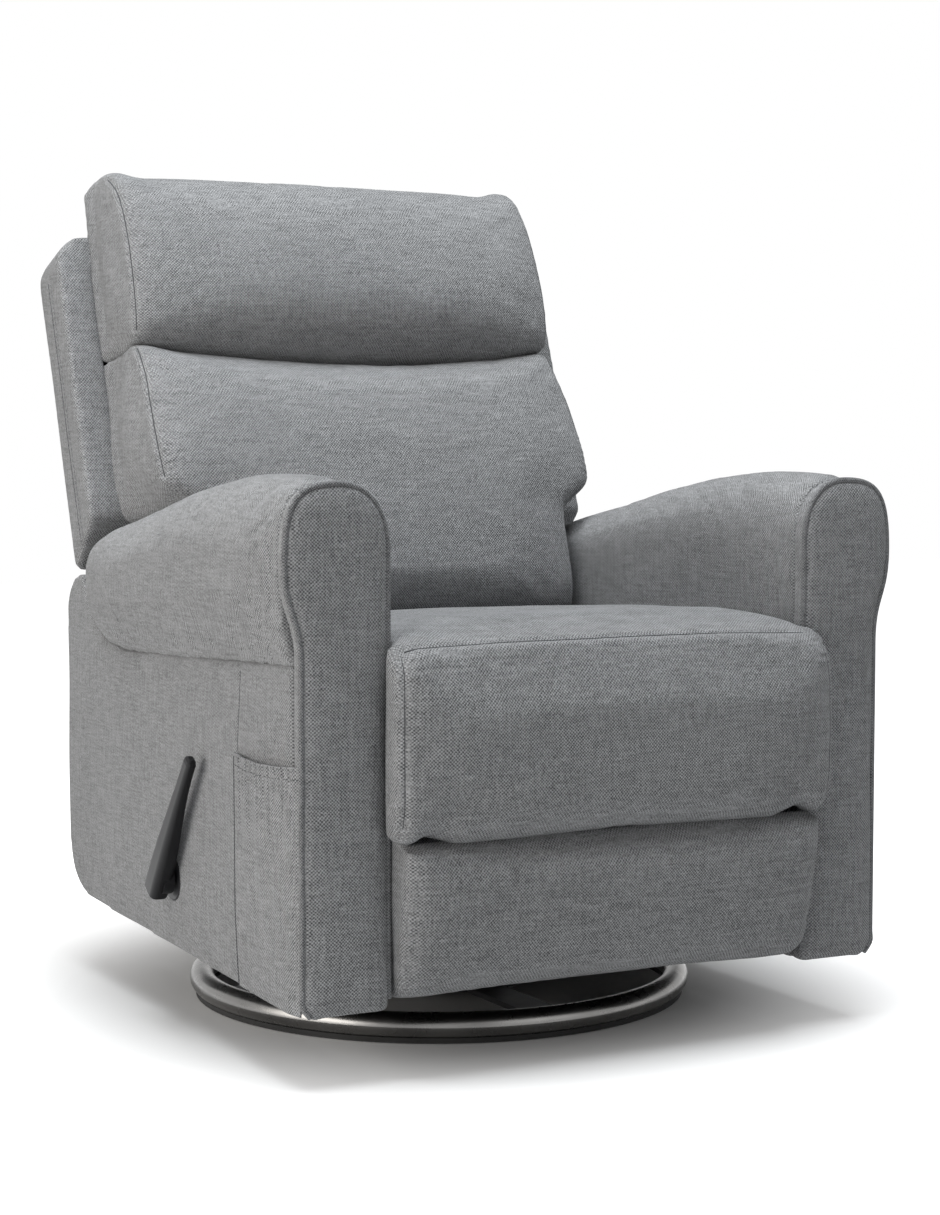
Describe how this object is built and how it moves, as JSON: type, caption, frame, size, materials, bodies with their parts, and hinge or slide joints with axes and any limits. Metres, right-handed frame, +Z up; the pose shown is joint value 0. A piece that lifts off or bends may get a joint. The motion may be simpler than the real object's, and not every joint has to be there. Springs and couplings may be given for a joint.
{
  "type": "swivel recliner",
  "caption": "Padded swivel recliner with rolled arms, side pocket, lever-worked footrest, reclining two-section back and round tube floor ring.",
  "frame": {"origin": "swivel axis at the floor, under the base ring", "axes": "+Z up along the swivel axis, -Y the way the chair faces, +X the sitter's left"},
  "size_m": [0.7737, 0.922, 1.0216],
  "materials": {
    "fabric_grey": "mid-grey woven upholstery",
    "ring_metal": "gloss dark gunmetal",
    "black_steel": "satin black",
    "bolt_steel": "zinc plated",
    "bearing_plastic": "natural nylon",
    "frame_wood": "dark-stained hardwood",
    "webbing": "woven elastic",
    "black_plastic": "satin black",
    "rubber": "matte"
  },
  "bodies": {
    "base": {"floor_strip": "rubber", "base_ring": "ring_metal", "base_spider": "black_steel", "swivel_pedestal": "black_steel", "flange_bolts": "bolt_steel", "bearing_ring": "bearing_plastic", "king_pin": "bolt_steel"},
    "chair": {"swivel_plate": "black_steel", "cross_rail_front": "black_steel", "cross_rail_rear": "black_steel", "rail_bolts": "bolt_steel", "side_plate_right": "black_steel", "side_plate_left": "black_steel", "shaft_bushes": "bearing_plastic", "seat_side_rail_right": "frame_wood", "seat_side_rail_left": "frame_wood", "seat_front_rail": "frame_wood", "seat_rear_rail": "frame_wood", "seat_webbing": "webbing", "seat_pad": "fabric_grey", "seat_front_roll": "fabric_grey", "arm_front_panel_right": "fabric_grey", "arm_front_panel_left": "fabric_grey", "arm_roll_right": "fabric_grey", "arm_roll_left": "fabric_grey", "arm_side_panel_right": "fabric_grey", "arm_side_panel_left": "fabric_grey", "arm_inner_panel_right": "fabric_grey", "arm_inner_panel_left": "fabric_grey", "arm_frame_right": "frame_wood", "arm_frame_left": "frame_wood", "rear_apron": "fabric_grey", "side_pocket": "fabric_grey", "lever_escutcheon": "black_plastic"},
    "back": {"back_shell": "fabric_grey", "back_frame": "frame_wood", "back_webbing": "webbing", "back_brackets": "black_steel", "bracket_bolts": "bolt_steel", "lumbar_cushion": "fabric_grey", "head_cushion": "fabric_grey"},
    "main_arm": {"main_links": "black_steel"},
    "reach_arm": {"reach_links": "black_steel"},
    "guide_arm": {"guide_links": "black_steel"},
    "control_arm": {"control_links": "black_steel"},
    "drive": {"drive_shaft": "black_steel", "lever_handle": "black_plastic"},
    "drive_rod": {"drive_links": "black_steel"},
    "footrest": {"foot_brackets": "black_steel", "foot_board": "frame_wood", "foot_pad": "fabric_grey"}
  },
  "joints": [
    {"name": "swivel", "type": "hinge", "parent": "base", "child": "chair", "pos_m": [0, 0, 0], "axis": [0, 0, 1], "continuous": true},
    {"name": "recline", "type": "hinge", "parent": "chair", "child": "back", "pos_m": [0, 0.18, 0.3], "axis": [-1, 0, 0], "range_deg": [0, 38]},
    {"name": "footrest_open", "type": "hinge", "parent": "chair", "child": "main_arm", "pos_m": [0, -0.3, 0.246], "axis": [-1, 0, 0], "range_deg": [0, 95]},
    {"name": "reach_turn", "type": "hinge", "parent": "main_arm", "child": "reach_arm", "pos_m": [0, -0.25952, 0.08604], "axis": [-1, 0, 0], "range_deg": [-95, 0]},
    {"name": "guide_turn", "type": "hinge", "parent": "main_arm", "child": "guide_arm", "pos_m": [0, -0.26983, 0.12676], "axis": [-1, 0, 0], "range_deg": [-95, 0]},
    {"name": "footrest_turn", "type": "hinge", "parent": "reach_arm", "child": "footrest", "pos_m": [0, -0.362, 0.19], "axis": [-1, 0, 0], "range_deg": [0, 95]},
    {"name": "control_turn", "type": "hinge", "parent": "chair", "child": "control_arm", "pos_m": [0, -0.332, 0.264], "axis": [-1, 0, 0], "range_deg": [0, 95]},
    {"name": "lever_turn", "type": "hinge", "parent": "chair", "child": "drive", "pos_m": [0, -0.04, 0.172], "axis": [-1, 0, 0], "range_deg": [0, 95]},
    {"name": "rod_turn", "type": "hinge", "parent": "drive", "child": "drive_rod", "pos_m": [0, -0.02773, 0.12353], "axis": [-1, 0, 0], "range_deg": [-95, 0]}
  ],
  "couplings": [
    {"joint": "reach_turn", "follows": "footrest_open", "ratio": -1},
    {"joint": "guide_turn", "follows": "footrest_open", "ratio": -1},
    {"joint": "footrest_turn", "follows": "footrest_open", "ratio": 1},
    {"joint": "control_turn", "follows": "footrest_open", "ratio": 1},
    {"joint": "lever_turn", "follows": "footrest_open", "ratio": 1},
    {"joint": "rod_turn", "follows": "footrest_open", "ratio": -1}
  ]
}
